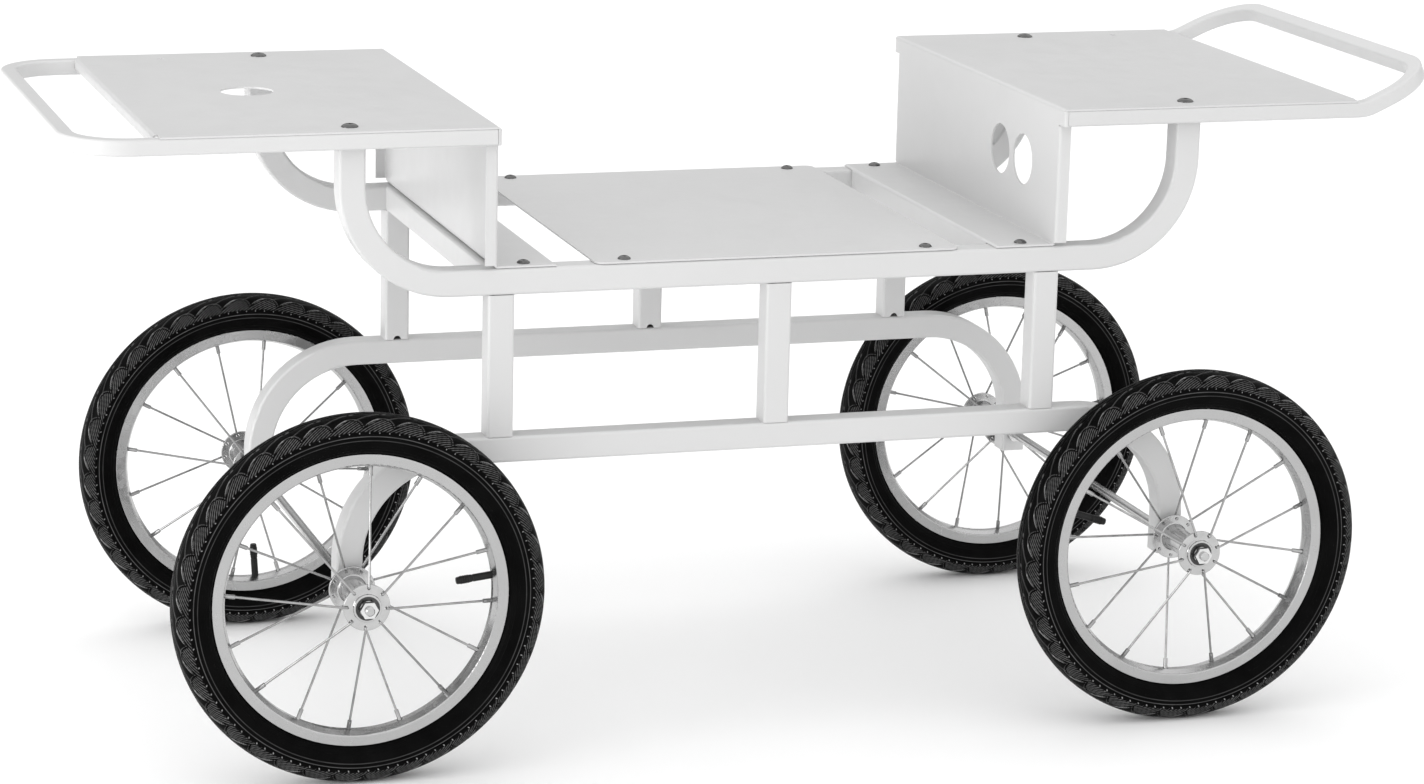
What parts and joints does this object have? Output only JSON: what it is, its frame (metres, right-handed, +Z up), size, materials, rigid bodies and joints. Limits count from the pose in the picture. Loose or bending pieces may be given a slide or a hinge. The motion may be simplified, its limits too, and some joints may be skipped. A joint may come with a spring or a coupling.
{
  "type": "beach cart",
  "caption": "Flat-bed beach cart with a bent square-tube frame, raised end trays with handles, a sheet deck and spoked pneumatic wheels.",
  "frame": {"origin": "on the floor, midway between the two axles, in the cart's middle plane", "axes": "+X along the cart towards the raised handle, +Y across it along the axles, +Z up"},
  "size_m": [1.5395, 0.7, 0.7284],
  "materials": {
    "powder_coat": "semi-gloss white powder coat",
    "zinc_rim": "satin zinc",
    "chrome": "bright",
    "zinc_hardware": "satin zinc",
    "tyre_rubber": "satin black",
    "tube_rubber": "matte black",
    "black_rubber": "matte black"
  },
  "bodies": {
    "frame": {"axle_inner_nuts": "zinc_hardware", "axle_left": "zinc_hardware", "axle_outer_nuts": "zinc_hardware", "axle_right": "zinc_hardware", "axle_spacers": "zinc_hardware", "axle_washers": "zinc_hardware", "crossbar_left": "powder_coat", "crossbar_right": "powder_coat", "deck_plate": "powder_coat", "deck_screws": "zinc_hardware", "end_sheet_left": "powder_coat", "end_sheet_right": "powder_coat", "handle_frame_left": "powder_coat", "handle_frame_right": "powder_coat", "leg_plugs": "zinc_hardware", "lower_rail_far": "powder_coat", "lower_rail_near": "powder_coat", "post_far_left": "powder_coat", "post_far_mid": "powder_coat", "post_far_right": "powder_coat", "post_near_left": "powder_coat", "post_near_mid": "powder_coat", "post_near_right": "powder_coat", "rivet_nuts": "zinc_hardware", "tray_screws": "zinc_hardware", "upper_rail_far": "powder_coat", "upper_rail_near": "powder_coat"},
    "wheel_near_left": {"tyre_near_left": "tyre_rubber", "inner_tube_near_left": "tube_rubber", "rim_near_left": "zinc_rim", "hub_near_left": "zinc_hardware", "spokes_near_left": "chrome", "nipples_near_left": "chrome", "bearings_near_left": "zinc_hardware", "valve_near_left": "black_rubber"},
    "wheel_near_right": {"tyre_near_right": "tyre_rubber", "inner_tube_near_right": "tube_rubber", "rim_near_right": "zinc_rim", "hub_near_right": "zinc_hardware", "spokes_near_right": "chrome", "nipples_near_right": "chrome", "bearings_near_right": "zinc_hardware", "valve_near_right": "black_rubber"},
    "wheel_far_left": {"tyre_far_left": "tyre_rubber", "inner_tube_far_left": "tube_rubber", "rim_far_left": "zinc_rim", "hub_far_left": "zinc_hardware", "spokes_far_left": "chrome", "nipples_far_left": "chrome", "bearings_far_left": "zinc_hardware", "valve_far_left": "black_rubber"},
    "wheel_far_right": {"tyre_far_right": "tyre_rubber", "inner_tube_far_right": "tube_rubber", "rim_far_right": "zinc_rim", "hub_far_right": "zinc_hardware", "spokes_far_right": "chrome", "nipples_far_right": "chrome", "bearings_far_right": "zinc_hardware", "valve_far_right": "black_rubber"}
  },
  "joints": [
    {"name": "wheel_near_left_spin", "type": "hinge", "parent": "frame", "child": "wheel_near_left", "pos_m": [-0.472, -0.297, 0.2], "axis": [0, 1, 0], "continuous": true},
    {"name": "wheel_near_right_spin", "type": "hinge", "parent": "frame", "child": "wheel_near_right", "pos_m": [0.472, -0.297, 0.2], "axis": [0, 1, 0], "continuous": true},
    {"name": "wheel_far_left_spin", "type": "hinge", "parent": "frame", "child": "wheel_far_left", "pos_m": [-0.472, 0.297, 0.2], "axis": [0, 1, 0], "continuous": true},
    {"name": "wheel_far_right_spin", "type": "hinge", "parent": "frame", "child": "wheel_far_right", "pos_m": [0.472, 0.297, 0.2], "axis": [0, 1, 0], "continuous": true}
  ]
}
